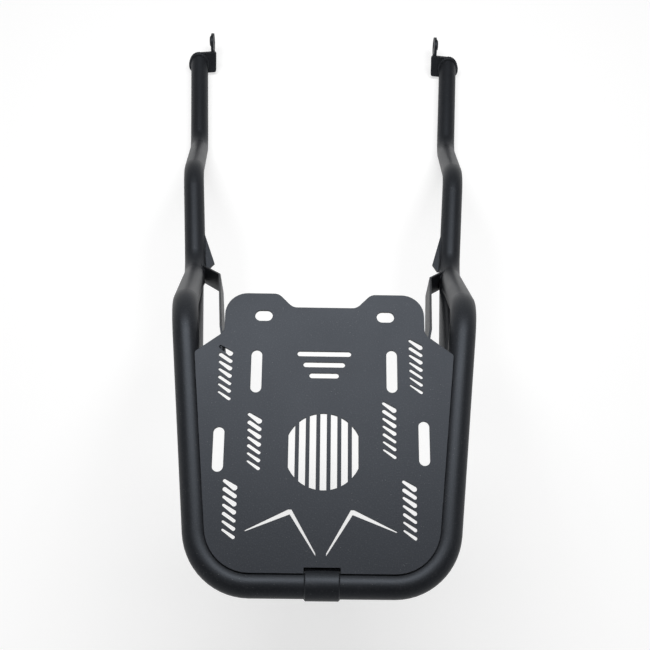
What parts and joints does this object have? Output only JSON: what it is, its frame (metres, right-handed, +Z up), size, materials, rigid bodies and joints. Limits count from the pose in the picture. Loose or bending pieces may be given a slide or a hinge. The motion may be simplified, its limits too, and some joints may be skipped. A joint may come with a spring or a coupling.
{
  "type": "motorcycle luggage rack",
  "caption": "Rear luggage rack: a bent tube frame with stepped arms round a slotted plate, with braces and bolt ears at its front ends.",
  "frame": {"origin": "midway between the two front bolt slots, on the plate's top face", "axes": "+X to the right, +Y forwards along the motorcycle, +Z up"},
  "size_m": [0.36, 0.7393, 0.3711],
  "materials": {
    "powder_coat": "fine textured matte black powder coat",
    "plate_coat": "fine textured matte black powder coat"
  },
  "bodies": {
    "root": {"left_tube": "powder_coat", "right_tube": "powder_coat", "rear_sleeve": "powder_coat", "plate": "plate_coat", "left_strut": "powder_coat", "right_strut": "powder_coat", "left_stay": "powder_coat", "right_stay": "powder_coat", "left_gusset": "powder_coat", "right_gusset": "powder_coat", "left_front_bracket": "powder_coat", "right_front_bracket": "powder_coat"}
  },
  "joints": []
}
